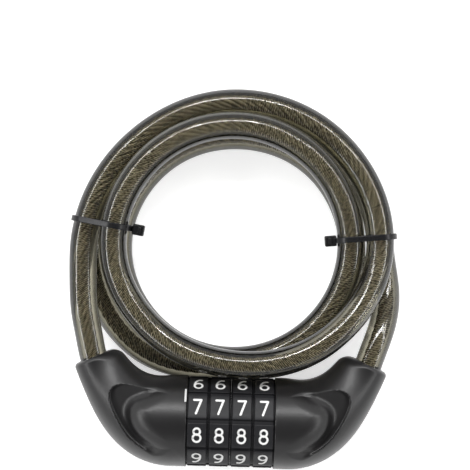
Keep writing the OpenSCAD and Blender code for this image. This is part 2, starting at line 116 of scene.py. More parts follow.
def contour(sdf, low, high, step):
    """Points, quads and corner normals of the surface sdf = 0, with its edges kept sharp.

    Each cell of the grid that the surface crosses gets one point, where the planes through
    its crossings meet.
    """
    low = np.array(low, float)
    n = np.ceil((np.array(high) - low) / step).astype(int) + 1
    axes = [low[i] + step * np.arange(n[i]) for i in range(3)]
    grid = np.stack(np.meshgrid(*axes, indexing="ij"), -1).reshape(-1, 3)
    val = sdf(grid).reshape(n)
    stride = np.array([n[1] * n[2], n[2], 1])
    where, corner_ids, flips = [], [], []
    for a in range(3):
        b, c = (a + 1) % 3, (a + 2) % 3
        head, tail = [slice(None)] * 3, [slice(None)] * 3
        head[a], tail[a] = slice(0, -1), slice(1, None)
        v0, v1 = val[tuple(head)], val[tuple(tail)]
        at = np.argwhere((v0 < 0) != (v1 < 0))
        at = at[(at[:, b] > 0) & (at[:, c] > 0) & (at[:, b] < n[b] - 1) & (at[:, c] < n[c] - 1)]
        f0, f1 = v0[tuple(at.T)], v1[tuple(at.T)]
        along = np.zeros(3)
        along[a] = step
        p0, p1 = low + step * at, low + step * at + along
        # close in on where the surface crosses the edge
        for _ in range(4):
            s = np.clip(f0 / (f0 - f1), 0.02, 0.98)[:, None]
            p = p0 + s * (p1 - p0)
            f = sdf(p)
            same = (f < 0) == (f0 < 0)
            p0, f0 = np.where(same[:, None], p, p0), np.where(same, f, f0)
            p1, f1 = np.where(same[:, None], p1, p), np.where(same, f1, f)
        where.append(p0 + (f0 / (f0 - f1))[:, None] * (p1 - p0))
        cell = at @ stride
        corner_ids.append(
            np.stack(
                [cell, cell - stride[b], cell - stride[b] - stride[c], cell - stride[c]], 1
            )
        )
        flips.append(v0[tuple(at.T)] < 0)
    p, ids, inside = np.concatenate(where), np.concatenate(corner_ids), np.concatenate(flips)
    g = slope(sdf, p)
    cells, owner = np.unique(ids, return_inverse=True)
    owner = owner.reshape(-1)
    m = len(cells)
    pp, gg = np.repeat(p, 4, 0), np.repeat(g, 4, 0)
    count = np.bincount(owner, minlength=m)
    mean = sum_by(owner, pp, m) / count[:, None]
    off = np.einsum("ij,ij->i", gg, pp - mean[owner])
    ata = np.empty((m, 3, 3))
    for i in range(3):
        for j in range(3):
            ata[:, i, j] = np.bincount(owner, gg[:, i] * gg[:, j], m)
    atb = sum_by(owner, gg * off[:, None], m)
    ata += PULL * count[:, None, None] * np.eye(3)
    x = mean + np.linalg.solve(ata, atb[:, :, None])[:, :, 0]
    corner = low + step * np.stack(np.unravel_index(cells, n), 1)
    x = np.clip(x, corner - OVERHANG * step, corner + (1 + OVERHANG) * step)
    quads = owner.reshape(-1, 4)
    quads = np.where(inside[:, None], quads, quads[:, ::-1])
    # even out the quads where the surface is smooth
    turn = sum_by(owner, gg, m) / count[:, None]
    smooth = np.linalg.norm(turn, axis=1) > SMOOTH_TURN
    edges = np.concatenate([quads[:, [i, (i + 1) % 4]] for i in range(4)])
    one, other = edges.T
    near = np.bincount(one, minlength=m) + np.bincount(other, minlength=m)
    for _ in range(EVEN_ROUNDS):
        total = sum_by(one, x[other], m) + sum_by(other, x[one], m)
        moved = (1 - EVEN_SHARE) * x + EVEN_SHARE * total / np.maximum(near, 1)[:, None]
        moved = np.where(smooth[:, None], moved, x)
        q = moved[smooth]
        x = moved
        x[smooth] = q - slope(sdf, q) * np.clip(sdf(q), -0.3, 0.3)[:, None]
    # the normals are read a little inside each quad, so that an edge stays sharp
    corners = x[quads]
    inward = 0.7 * corners + 0.3 * corners.mean(1, keepdims=True)
    return x, quads, slope(sdf, inward.reshape(-1, 3))


def round_max(a, b, r):
    """Intersection with a rounded edge."""
    return np.minimum(-r, np.maximum(a, b)) + np.hypot(np.maximum(r + a, 0), np.maximum(r + b, 0))


def round_min(a, b, r):
    """Union with a filleted corner."""
    return np.maximum(r, np.minimum(a, b)) - np.hypot(np.maximum(r - a, 0), np.maximum(r - b, 0))


def blend_min(a, b, k):
    """Union that flows over a width k."""
    h = np.clip(0.5 + 0.5 * (b - a) / k, 0, 1)
    return b * (1 - h) + a * h - k * h * (1 - h)


# ---------------------------------------------------------------- the cable's route
CABLE_R, STRAND = 6.0, 12.5  # the strands lie this far apart
BUNDLE = np.array([0.4, 71.021, 7.4])  # the bundle's middle, in its lowest layer
BUNDLE_R = 51.0  # radius of the innermost column
# column and layer of the strand at each eighth of a turn, from -90 degrees on
LIE = np.array(
    [
        (2.2, 1), (1.6, 1), (1.25, 1), (1.01, 1), (1.04, 1), (1.06, 1.02), (0.98, 1.24),
        (0.4, 1.95), (-0.1, 2), (-0.07, 1.64), (0.19, 1.42), (0.22, 1.64), (0.2, 1.58),
        (0.1, 1.34), (-0.02, 1.04), (-0.12, 0.96), (-0.14, 1), (-0.03, 0.58), (0.08, 0.28),
        (0.01, 0), (-0.06, 0), (0.04, 0), (0.12, 0), (0.3, 0), (0.15, 0), (0.9, 0),
        (1.08, 0), (1.04, 0), (1, 0), (1.07, 0), (1.14, 0), (1.6, 0.1), (2.2, 0.3),
    ]
)  # fmt: skip


def lie_at(phi):
    """Column and layer at an angle along the cable, by a smooth curve through the table."""
    s = (np.asarray(phi, float) + 90) / 45
    i = np.floor(s).astype(int)
    s = (s - i)[..., None]
    a, b, c, d = LIE[i - 1], LIE[i], LIE[i + 1], LIE[i + 2]
    q = 0.5 * (
        2 * b
        + (c - a) * s
        + (2 * a - 5 * b + 4 * c - d) * s**2
        + (3 * b - a - 3 * c + d) * s**3
    )
    q[..., 1] = np.maximum(q[..., 1], 0)
    return q


def wound(phi):
    """The cable's middle at an angle along it."""
    q, a = lie_at(phi), np.radians(phi)
    r = BUNDLE_R + STRAND * q[..., 0]
    return BUNDLE + np.stack([-r * np.cos(a), r * np.sin(a), STRAND * q[..., 1]], -1)


def unit(v):
    return v / np.linalg.norm(v, axis=-1, keepdims=True)


def distances(path):
    """How far along the path each of its points lies."""
    return np.concatenate([[0], np.cumsum(np.linalg.norm(np.diff(path, axis=0), axis=1))])


def spline(points, step):
    """Smooth curve through the points, resampled at an even step."""
    points = np.asarray(points, float)
    s = distances(points)
    h = np.diff(s)
    n = len(points)
    a = np.zeros((n, n))
    rhs = np.zeros((n, 3))
    a[0, 0] = a[-1, -1] = 1
    for i in range(1, n - 1):
        a[i, i - 1 : i + 2] = h[i - 1], 2 * (h[i - 1] + h[i]), h[i]
        rhs[i] = 6 * (
            (points[i + 1] - points[i]) / h[i] - (points[i] - points[i - 1]) / h[i - 1]
        )
    m = np.linalg.solve(a, rhs)
    fine = np.linspace(0, s[-1], int(s[-1] / 0.25))
    k = np.clip(np.searchsorted(s, fine, side="right") - 1, 0, n - 2)
    t, hk = (fine - s[k])[:, None], h[k][:, None]
    curve = (
        points[k]
        + ((points[k + 1] - points[k]) / hk - hk * (2 * m[k] + m[k + 1]) / 6) * t
        + m[k] / 2 * t**2
        + (m[k + 1] - m[k]) / (6 * hk) * t**3
    )
    return even(curve, step)


def even(curve, step):
    """The curve with its points at an even step."""
    s = distances(curve)
    want = np.linspace(0, s[-1], max(2, round(s[-1] / step) + 1))
    return np.stack([np.interp(want, s, curve[:, i]) for i in range(3)], 1)


WIND_FROM, WIND_TO, WIND_STEP = -6, 1254, 6  # degrees
CUT_AT = 1236  # from here on the right half pulls the cable along
SEAT_DEPTH, ROPE_DEPTH = 13, 21  # how deep the cover and the rope sit in a mouth
dir_in = unit(wound(WIND_FROM + 2) - wound(WIND_FROM - 2))
dir_out = unit(wound(WIND_TO + 2) - wound(WIND_TO - 2))
out_l = SEAT_OUT * (-1, 1, 0)
mouth_l = MOUTH_AT * (-1, 1, 1)
lead_l = [
    mouth_l - SEAT_DEPTH * out_l,
    mouth_l - 6 * out_l,
    mouth_l + 2 * out_l,
    (-62.9, 32, 19.9),
    (-65, 42, 19.9),
]
lead_r = [
    (68.3, 55.5, 9),
    (67.9, 45, 13),
    (65, 34.5, 17.6),
    MOUTH_AT + 2 * SEAT_OUT,
    MOUTH_AT - 6 * SEAT_OUT,
    MOUTH_AT - SEAT_DEPTH * SEAT_OUT,
]
turns = [tuple(wound(phi)) for phi in np.arange(WIND_FROM, WIND_TO + 1, WIND_STEP)]
route = spline(
    lead_l
    + [tuple(wound(WIND_FROM) - 12 * dir_in)]
    + turns
    + [tuple(wound(WIND_TO) + 12 * dir_out)]
    + lead_r,
    0.25,
)
late = len(route) // 2
cut = late + int(np.argmin(np.linalg.norm(route[late:] - wound(CUT_AT), axis=1)))


def square_to(path):
    """Two directions square to the path at each of its points."""
    t = unit(np.gradient(path, axis=0))
    u = unit(np.cross((0, 0, 1), t))
    return u, np.cross(t, u)


def tube_faces(rings, sides, first_cap, last_cap):
    """Quads between rings of points, and a face over either end if it is capped."""
    i, k = np.meshgrid(np.arange(rings - 1), np.arange(sides), indexing="ij")
    i, k, j = i.ravel() * sides, k.ravel(), (k.ravel() + 1) % sides
    quads = np.stack([i + k, i + j, i + sides + j, i + sides + k], 1).tolist()
    if first_cap:
        quads.append(list(range(sides))[::-1])
    if last_cap:
        quads.append([(rings - 1) * sides + k for k in range(sides)])
    return quads


CABLE_SIDES = 64


def jacket(name, path, first_cap, last_cap):
    """The cable's smooth plastic cover."""
    u, v = square_to(path)
    a = np.linspace(0, 2 * math.pi, CABLE_SIDES, endpoint=False)
    pts = path[:, None] + CABLE_R * (
        np.cos(a)[None, :, None] * u[:, None] + np.sin(a)[None, :, None] * v[:, None]
    )
    faces = tube_faces(len(path), len(a), first_cap, last_cap)
    return make_object(name, pts.reshape(-1, 3), faces, 60)


ROPE_R, ROPE_STRANDS, ROPE_LAY = 2.1, 6, 24.0
STRAND_SIDES, WIRE_TURN = 8, 3.0  # the weave of the wires repeats after 3 mm of rope
ROPE_SIDES = ROPE_STRANDS * STRAND_SIDES


def rope(name, path, start, first_cap, last_cap):
    """Six twisted strands; the UV map gives the place round a strand and along the rope."""
    u, v = square_to(path)
    s = start + distances(path)
    strand_r = ROPE_R / 3
    centre_r = ROPE_R - strand_r
    k = np.arange(ROPE_SIDES)
    a = (k % STRAND_SIDES) / STRAND_SIDES * (math.pi / 3) - math.pi / 6
    r = centre_r * np.cos(a) + np.sqrt(
        np.maximum(strand_r**2 - (centre_r * np.sin(a)) ** 2, 0)
    )
    turn = 2 * math.pi * (s / ROPE_LAY)[:, None] + (2 * math.pi * k / ROPE_SIDES)[None, :]
    pts = path[:, None] + r[None, :, None] * (
        np.cos(turn)[..., None] * u[:, None] + np.sin(turn)[..., None] * v[:, None]
    )
    faces = tube_faces(len(path), ROPE_SIDES, first_cap, last_cap)
    obj = make_object(name, pts.reshape(-1, 3), faces, 180)
    uv = obj.data.uv_layers.new(name="along")
    loops = np.zeros(len(obj.data.loops), int)
    obj.data.loops.foreach_get("vertex_index", loops)
    ring, col = loops // ROPE_SIDES, loops % ROPE_SIDES
    # the last quad of each ring ends where a next round would begin
    wrap = np.zeros(len(loops))
    quad = (len(path) - 1) * ROPE_SIDES * 4
    first = np.repeat(col[:quad:4], 4)
    wrap[:quad] = np.where((col[:quad] == 0) & (first == ROPE_SIDES - 1), ROPE_SIDES, 0)
    co = np.stack([(col + wrap) / STRAND_SIDES, s[ring] / WIRE_TURN], 1)
    uv.data.foreach_set("uv", co.astype(np.float32).ravel())
    return obj


def share_ring(first, second, sides):
    """Start the second piece on the ring of points where the first one ends."""
    ends = [v.co.copy() for v in first.data.vertices[-sides:]]
    for vert, co in zip(second.data.vertices[:sides], ends):
        vert.co = co


CABLE_STEP, ROPE_STEP = 1.6, 0.9
main_path = even(route[: cut + 1], CABLE_STEP)
right_path = even(route[cut:], CABLE_STEP)
cable_main = jacket("cable_cover", main_path, True, False)
cable_right = jacket("cable_cover_right", right_path, False, True)
share_ring(cable_main, cable_right, CABLE_SIDES)

rope_from, rope_to = mouth_l - ROPE_DEPTH * out_l, MOUTH_AT - ROPE_DEPTH * SEAT_OUT
main_rope_path = even(np.concatenate([[rope_from], route[: cut + 1]]), ROPE_STEP)
right_rope_path = even(np.concatenate([route[cut:], [rope_to]]), ROPE_STEP)
rope_main = rope("wire_rope", main_rope_path, 0, True, False)
rope_length = distances(main_rope_path)[-1]
rope_right = rope("wire_rope_right", right_rope_path, rope_length, False, True)
share_ring(rope_main, rope_right, ROPE_SIDES)

for obj in (cable_main, rope_main):
    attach(obj, "root")
for obj in (cable_right, rope_right):
    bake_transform(obj)
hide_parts("cable_coil", "left_cable_lead")
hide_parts("rope_coil", "left_rope_lead")
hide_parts("right_cable_lead")
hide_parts("right_rope_lead")


# ---------------------------------------------------------------- the moulded halves
# the four points of the Bezier curve that is the elbow's middle line
MOUTH_HANDLE = 14
ELBOW = np.array(
    [
        (BAR_END - 5, 0),
        (BAR_END + 13, 0),
        (
            MOUTH_X - MOUTH_HANDLE * math.sin(MOUTH_LEAN),
            MOUTH_RISE - MOUTH_HANDLE * math.cos(MOUTH_LEAN),
        ),
        (MOUTH_X, MOUTH_RISE),
    ]
)
# rim of the hollow round the nose, seen from the front
RIM = np.array(
    [
        (4, 11.6), (20, 12.2), (29, 13.4), (34.5, 14.5), (40, 15.8), (44.6, 16.4),
        (48.2, 16.2), (50.8, 14.8), (51.9, 12.0), (51.3, 8.4), (49.5, 4.2), (46.7, -0.7),
        (43.2, -5.3), (39.5, -8.5), (35.8, -10.6), (30, -12.4), (20, -13.6), (4, -13.8),
    ]
)  # fmt: skip
# where the nose's side would stand upright, seen from the front
NOSE = np.array(
    [
        (4, 38), (18, 31), (27, 26), (33, 21.7), (38, 17.6), (41.8, 14.2), (44.4, 11),
        (45.5, 7.3), (45.1, 3), (43.8, -1.5), (41.8, -5.5), (39, -9.5), (35.3, -14),
        (30.3, -19.5), (24, -26), (16, -33), (4, -42),
    ]
)  # fmt: skip


def bezier(t):
    """Places on the elbow's middle line, with its first and second derivatives."""
    t = t[:, None]
    a, b, c, d = ELBOW
    at = a * (1 - t) ** 3 + 3 * b * (1 - t) ** 2 * t + 3 * c * (1 - t) * t**2 + d * t**3
    d1 = 3 * (b - a) * (1 - t) ** 2 + 6 * (c - b) * (1 - t) * t + 3 * (d - c) * t**2
    d2 = 6 * (c - 2 * b + a) * (1 - t) + 6 * (d - 2 * c + b) * t
    return at, d1, d2


# the part of the plan that the tables cover
PLAN_X, PLAN_Y, PLAN_STEP = (14, 76), (-26, 42), 0.5


def plan_grid(step):
    axes = [np.arange(low, high, step) for low, high in (PLAN_X, PLAN_Y)]
    return np.stack(np.meshgrid(*axes, indexing="ij"), -1)


def first_guess():
    """The nearest of 200 places on the elbow's line, for each whole millimetre of the plan."""
    grid = plan_grid(1.0)
    t = np.linspace(0, 1, 200)
    away = ((grid.reshape(-1, 1, 2) - bezier(t)[0]) ** 2).sum(2)
    return t[away.argmin(1)].reshape(grid.shape[:2])


GUESS = first_guess()


def elbow_place(p):
    """Nearest place on the elbow's curve, and how far to its right the point lies."""
    i = np.clip(np.rint(p[:, 0] - PLAN_X[0]).astype(int), 0, GUESS.shape[0] - 1)
    j = np.clip(np.rint(p[:, 1] - PLAN_Y[0]).astype(int), 0, GUESS.shape[1] - 1)
    t = GUESS[i, j]
    for _ in range(3):
        at, d1, d2 = bezier(t)
        e = at - p[:, :2]
        bend = np.maximum((d1 * d1).sum(1) + (e * d2).sum(1), 20)
        t = np.clip(t - (e * d1).sum(1) / bend, 0, 1)
    at, d1, _ = bezier(t)
    d = d1 / np.linalg.norm(d1, axis=1, keepdims=True)
    e = p[:, :2] - at
    return t, e[:, 0] * d[:, 1] - e[:, 1] * d[:, 0]


def oval(w, z, a, b):
    """Distance to an oval with the half axes a and b, nearly exact close to it."""
    k0 = np.hypot(w / a, z / b)
    k1 = np.hypot(w / a**2, z / b**2)
    return k0 * (k0 - 1) / np.maximum(k1, 1e-9)


def polygon_distance(xy, poly):
    """Distance to a closed polygon, negative inside."""
    best = np.full(len(xy), 1e9)
    inside = np.zeros(len(xy), bool)
    for a, b in zip(poly, np.roll(poly, -1, 0)):
        e, w = b - a, xy - a
        s = np.clip((w @ e) / (e @ e), 0, 1)
        best = np.minimum(best, ((w - s[:, None] * e) ** 2).sum(1))
        crosses = (a[1] > xy[:, 1]) != (b[1] > xy[:, 1])
        if a[1] != b[1]:
            side = xy[:, 0] < a[0] + (xy[:, 1] - a[1]) / (b[1] - a[1]) * (b[0] - a[0])
            inside ^= crosses & side
    return np.where(inside, -1, 1) * np.sqrt(best)


def plan(points):
    """Distance to the smooth line through the points, as a table over the plan."""
    line = spline(np.concatenate([points, np.zeros((len(points), 1))], 1), 0.5)[:, :2]
    grid = plan_grid(PLAN_STEP)
    return polygon_distance(grid.reshape(-1, 2), line).reshape(grid.shape[:2])


def look_up(table, xy):
    """Cubic reading of such a table."""
    fx = np.clip((xy[:, 0] - PLAN_X[0]) / PLAN_STEP, 1, table.shape[0] - 2.001)
    fy = np.clip((xy[:, 1] - PLAN_Y[0]) / PLAN_STEP, 1, table.shape[1] - 2.001)
    i, j = fx.astype(int), fy.astype(int)
    fx, fy = fx - i, fy - j

    def weights(t):
        return (
            -0.5 * t + t**2 - 0.5 * t**3,
            1 - 2.5 * t**2 + 1.5 * t**3,
            0.5 * t + 2 * t**2 - 1.5 * t**3,
            -0.5 * t**2 + 0.5 * t**3,
        )

    wx, wy = weights(fx), weights(fy)
    return sum(
        wx[a] * wy[b] * table[i + a - 1, j + b - 1] for a in range(4) for b in range(4)
    )


RIM_TABLE, NOSE_TABLE = plan(RIM), plan(NOSE)
NOSE_ROUND = 12.0
HEIGHT_FROM = 0.08  # from this place on the elbow's line its height falls off
FLOOR_Z, FLOOR_FALL = 18, (0.13, 0.0675)  # the floor of the hollow, nearly level
FLOOR_RISE, FLOOR_FROM = 0.025, 38  # from this X towards the wheels the floor runs out
# half widths along the elbow, on its outer and its inner side, as weights of a Bezier curve
OUTER = (HEAD_R - 0.05, HEAD_R + 0.7, 17.9, 10.6, 9.9, MOUTH_R)
INNER = (HEAD_R - 0.05, HEAD_R - 0.05, 17.0, 11.6, 14.6, 11.2)


def ease(t):
    """A smooth step from 0 to 1."""
    t = np.clip(t, 0, 1)
    return t * t * (3 - 2 * t)


def weighted(weights, t):
    """Bezier curve of single numbers."""
    n = len(weights) - 1
    return sum(c * math.comb(n, i) * t**i * (1 - t) ** (n - i) for i, c in enumerate(weights))


def skin(p):
    """Outside of the right half, about the wheels' axis."""
    t, w = elbow_place(p)
    z = p[:, 2]
    half_w = np.where(w > 0, weighted(OUTER, t), weighted(INNER, t))
    late = np.clip((t - HEIGHT_FROM) / (1 - HEIGHT_FROM), 0, 1)
    half_h = MOUTH_R + (HEAD_R - 0.05 - MOUTH_R) * (1 + np.cos(math.pi * late)) / 2
    shell = oval(w, z, half_w, half_h)
    # the hollow, whose rim grows rounder towards the wheels
    rim = look_up(RIM_TABLE, p[:, :2])
    inland = FLOOR_FROM - p[:, 0]
    level = FLOOR_Z - FLOOR_FALL[0] * p[:, 0] - FLOOR_FALL[1] * p[:, 1]
    level = level + FLOOR_RISE * np.maximum(inland, 0) ** 2
    edge = 0.25 + 3 * ease(inland / 7)
    shell = round_max(shell, round_min(-rim, np.abs(z) - level, 0.5), edge)
    # the mouth, whose corner is rounder on the elbow's inner side
    out_x, out_y = math.sin(MOUTH_LEAN), math.cos(MOUTH_LEAN)
    cap = (p[:, 0] - MOUTH_X) * out_x + (p[:, 1] - MOUTH_RISE) * out_y
    shell = round_max(shell, cap, 1.7 + 2.4 * ease(-w / 8))
    # the nose flows into the floor, but nowhere past the rim or into the barrel
    around = np.hypot(p[:, 1], z)
    nose = round_max(around - HEAD_R, look_up(NOSE_TABLE, p[:, :2]), NOSE_ROUND)
    flow = 0.1 + 2.1 * ease(-rim / 2) * ease((p[:, 0] - 31) / 6)
    return blend_min(nose, shell, flow)


def rod(p, a, d, r, s0, s1):
    """Distance to a rod from a along d, between s0 and s1."""
    e = p - a
    s = e @ d
    q = np.linalg.norm(e - s[:, None] * d, axis=1) - r
    return np.maximum(q, np.maximum(s0 - s, s - s1))


MOUTH = np.array([MOUTH_X, MOUTH_RISE, 0.0])
X_DIR, Z_DIR = np.array([1.0, 0, 0]), np.array([0, 0, 1.0])
CABLE_BORE_R, FERRULE_BORE_R, FERRULE_END = 6.2, 4.55, 27.05
PIN_BORE_R, SLEEVE_PIN_X, PLUG_PIN_X = 1.55, 28.07, 29.9
PIN_DEPTH = SEAT_DEPTH + 11 + 0.3
CABLE_PIN = MOUTH - PIN_DEPTH * SEAT_OUT
BOSS_R, BOSS_END = 3.0, -13.2
MARK_TURN, MARK_HALF, MARK_X, MARK_DEPTH = math.radians(41), 3.3, (18.5, 19.4), 1.15


def half(face, bores, back_pin, mark):
    """Distance to one half with its bores; face is where the wheels begin."""
    holes = [back_pin, (CABLE_PIN[0], CABLE_PIN[1], 6.55)]

    def sdf(p):
        d = skin(p)
        # a low round boss at the back, in which the ferrule's pin ends
        boss = np.hypot(p[:, 0] - CABLE_PIN[0], p[:, 1] - CABLE_PIN[1]) - BOSS_R
        boss = round_max(boss, np.abs(p[:, 2] - BOSS_END / 2) + BOSS_END / 2, 0.6)
        d = round_min(d, boss, 1.2)
        d = round_max(d, face + 0.03 - p[:, 0], 0.25)
        cable = rod(p, MOUTH, -SEAT_OUT, CABLE_BORE_R, -8, SEAT_DEPTH)
        d = round_max(d, -cable, 0.3)
        ferrule = rod(p, MOUTH, -SEAT_OUT, FERRULE_BORE_R, SEAT_DEPTH - 1, FERRULE_END)
        d = np.maximum(d, -ferrule)
        for r, x1 in bores:
            d = round_max(d, -rod(p, np.zeros(3), X_DIR, r, face - 3, x1), 0.15)
        for x, y, z1 in holes:
            hole = rod(p, np.array([x, y, 0.0]), Z_DIR, PIN_BORE_R, -30, z1)
            d = round_max(d, -hole, 0.2)
        if mark:
            a = MARK_TURN
            e = p[:, 1] * math.cos(a) - p[:, 2] * math.sin(a)
            h = p[:, 1] * math.sin(a) + p[:, 2] * math.cos(a)
            slot = np.maximum(np.abs(e) - MARK_HALF, HEAD_R - MARK_DEPTH - h)
            slot = np.maximum(slot, p[:, 0] - MARK_X[1])
            slot = np.maximum(slot, MARK_X[0] - p[:, 0])
            d = np.maximum(d, -slot)
        return d

    return sdf


def make_half(name, sdf, x0, side):
    """The half as a mesh; side is -1 for the left one, which is the right one's mirror."""
    pts, quads, normals = contour(sdf, (x0 - 1.2, -21.2, -21.2), (71.4, 34.4, 21.2), 0.5)
    pts = pts + (0, AXIS_Y, AXIS_Z)
    if side < 0:
        pts = pts * (-1, 1, 1)
        quads = quads[:, ::-1]
        normals = (normals.reshape(-1, 4, 3)[:, ::-1] * (-1, 1, 1)).reshape(-1, 3)
    return make_object(name, pts, quads.tolist(), normals=normals)


# the bores on the wheels' axis, as radius and end, and the bore of the pin from the back, as
# X, Y and end: the sleeve sits in the left half, the plug and the collar in the right one
left_sdf = half(-BLOCK_X[0], [(6.55, 34.05)], (SLEEVE_PIN_X, 0.0, 8.55), True)
left = make_half("left_half", left_sdf, -BLOCK_X[0], -1)
right_bores = [(4.15, 38.05), (10.1, 22.1)]
right_sdf = half(BLOCK_X[1], right_bores, (PLUG_PIN_X, 0.0, 7.65), False)
right = make_half("right_half", right_sdf, BLOCK_X[1], 1)
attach(left, "root")
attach(right, "plug")
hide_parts("left_housing")
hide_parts("right_housing")


# ---------------------------------------------------------------- number wheels
PITCH, HUB_W, RIM_W = 9.5, 9.46, 8.1
PAD_R, RIM_R, HUB_R = 19.4, 19.8, 19.1
RING_R = 11.9  # of the gate ring, whose splines sit in notches of the wheel
RING_GAP, NOTCH_HALF, NOTCH_DEPTH = 0.05, 0.65, 1.25
GROOVE_HALF, GROOVE_DEPTH = 0.95, 1.15  # of the grooves between the pads
STEP = 36  # degrees from one number to the next
TURN, PAD_TURN = math.radians(STEP), math.radians(8)


def wheel(p):
    """One wheel about its own middle, with its axis along X."""
    x, y, z = p.T
    r = np.hypot(y, z)

    def fold(a):
        return a - TURN * np.rint(a / TURN)

    a = fold(np.arctan2(y, z) - PAD_TURN)  # 0 at a groove
    pads = r * np.cos(np.abs(a) - TURN / 2) - PAD_R
    pads = round_max(pads, r - RIM_R, 0.25)
    pads = round_max(pads, np.abs(x) - RIM_W / 2, 0.3)
    hub = round_max(r - HUB_R, np.abs(x) - HUB_W / 2, 0.12)
    groove = np.maximum(
        np.abs(r * np.sin(a)) - GROOVE_HALF, RIM_R - GROOVE_DEPTH - r * np.cos(a)
    )
    d = round_max(np.minimum(pads, hub), -groove, 0.22)
    a = fold(np.arctan2(y, z))  # 0 at a spline of the gate ring
    notch = np.maximum(
        np.abs(r * np.sin(a)) - NOTCH_HALF, r * np.cos(a) - RING_R - NOTCH_DEPTH
    )
    return np.maximum(d, -np.minimum(r - RING_R - RING_GAP, notch))


WHEEL_BOX = np.array([5.3, 20.4, 20.4])
wheel_pts, wheel_quads, wheel_normals = contour(wheel, -WHEEL_BOX, WHEEL_BOX, 0.36)


def arc(x, y, rx, ry, a0, a1):
    """Points on an oval from one angle to the other."""
    a = np.radians(np.linspace(a0, a1, max(3, int(abs(a1 - a0) / 12))))
    return [(x + rx * math.cos(k), y + ry * math.sin(k)) for k in a]


SIX = arc(0, -1.3, 1.72, 1.78, -180, 180)
SIX_STEM = [(-1.72, -1.3), (-1.66, 0.0), (-1.3, 1.45), (-0.6, 2.5), (0.35, 3.02), (1.35, 3.0)]
# the middle lines of the strokes of each figure, 6.2 high and about its own middle
STROKES = [
    [arc(0, 0, 1.7, 3.1, -180, 180)],
    [[(-1.1, 2.2), (0.35, 3.1)], [(0.35, 3.1), (0.35, -3.1)]],
    [arc(0, 1.4, 1.6, 1.7, 165, -35), [(1.31, 0.42), (-1.6, -3.1)], [(-1.6, -3.1), (1.7, -3.1)]],
    [arc(-0.1, 1.6, 1.5, 1.5, 150, -90), arc(-0.1, -1.5, 1.7, 1.6, 90, -150)],
    [[(0.8, 3.1), (-1.7, -1.4)], [(-1.7, -1.4), (1.8, -1.4)], [(0.8, 3.1), (0.8, -3.1)]],
    [[(1.5, 3.1), (-1.2, 3.1)], [(-1.2, 3.1), (-1.4, 0.3)], arc(0, -1.1, 1.75, 2.0, 140, -140)],
    [SIX, SIX_STEM],
    [[(-1.6, 3.1), (1.6, 3.1)], [(1.6, 3.1), (-0.6, -3.1)]],
    [arc(0, 1.62, 1.42, 1.48, -180, 180), arc(0, -1.36, 1.72, 1.74, -180, 180)],
    [[(-x, -y) for x, y in SIX], [(-x, -y) for x, y in SIX_STEM]],
]
HALF_STROKE, FIGURE_SCALE = 0.47, 0.97
SEVEN_AT = 26  # degrees from the top, where the 7 stands


def ribbon(line):
    """Points and faces of a flat stroke with round ends."""
    line = np.array(line, float)
    along = unit(np.gradient(line, axis=0))
    if np.allclose(line[0], line[-1]):
        along[0] = along[-1] = unit(line[1] - line[-2])
    across = np.stack([-along[:, 1], along[:, 0]], 1) * HALF_STROKE
    n = len(line)
    pts = np.concatenate([line + across, line - across])
    faces = [[i, n + i, n + i + 1, i + 1] for i in range(n - 1)]
    for end, to, side in ((0, -along[0], across[0]), (n - 1, along[-1], -across[-1])):
        a = np.radians(np.arange(0, 181, 15))[:, None]
        round_end = line[end] + side * np.cos(a) + to * HALF_STROKE * np.sin(a)
        faces.append((len(pts) + np.arange(len(a))).tolist())
        pts = np.concatenate([pts, round_end])
    return pts, faces


figures_pts, figures_faces, count = [], [], 0
for d in range(10):
    a = math.radians(SEVEN_AT - STEP * (d - 7))
    up = np.array([0, math.cos(a), -math.sin(a)])
    out = np.array([0, math.sin(a), math.cos(a)])
    for number, line in enumerate(STROKES[d]):
        flat, faces = ribbon(line)
        # each stroke lies a little higher than the one before, so that none share a plane
        lift = PAD_R + 0.03 + 0.004 * number
        flat = FIGURE_SCALE * flat
        figures_pts.append(flat[:, :1] * X_DIR + flat[:, 1:] * up + lift * out)
        figures_faces += [[count + i for i in f] for f in faces]
        count += len(flat)
figures_pts = np.concatenate(figures_pts)

wheels, figures = [], []
WHEEL_X = [BLOCK_X[0] + PITCH * (i + 0.5) for i in range(4)]
for i in range(4):
    at = np.array([WHEEL_X[i], AXIS_Y, AXIS_Z])
    body = f"dial_{i + 1}"
    w = make_object(f"wheel_{i + 1}", wheel_pts + at, wheel_quads.tolist(), normals=wheel_normals)
    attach(w, body)
    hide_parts(f"number_wheel_{i + 1}")
    f = make_object(f"figures_{i + 1}", figures_pts + at, figures_faces)
    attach(f, body)
    wheels.append(w)
    figures.append(f)


# ---------------------------------------------------------------- ties
STRAP_IN, STRAP_MID, STRAP_HALF_T, STRAP_HALF_W = CABLE_R + 0.3, 0.52, 0.5, 1.25
TIE_HEAD, TIE_HEAD_ROUND = np.array([2.6, 2.4, 2.5]), 0.7  # half sizes
TAIL_HALF_T, TAIL_HALF_W = 0.5, 1.2


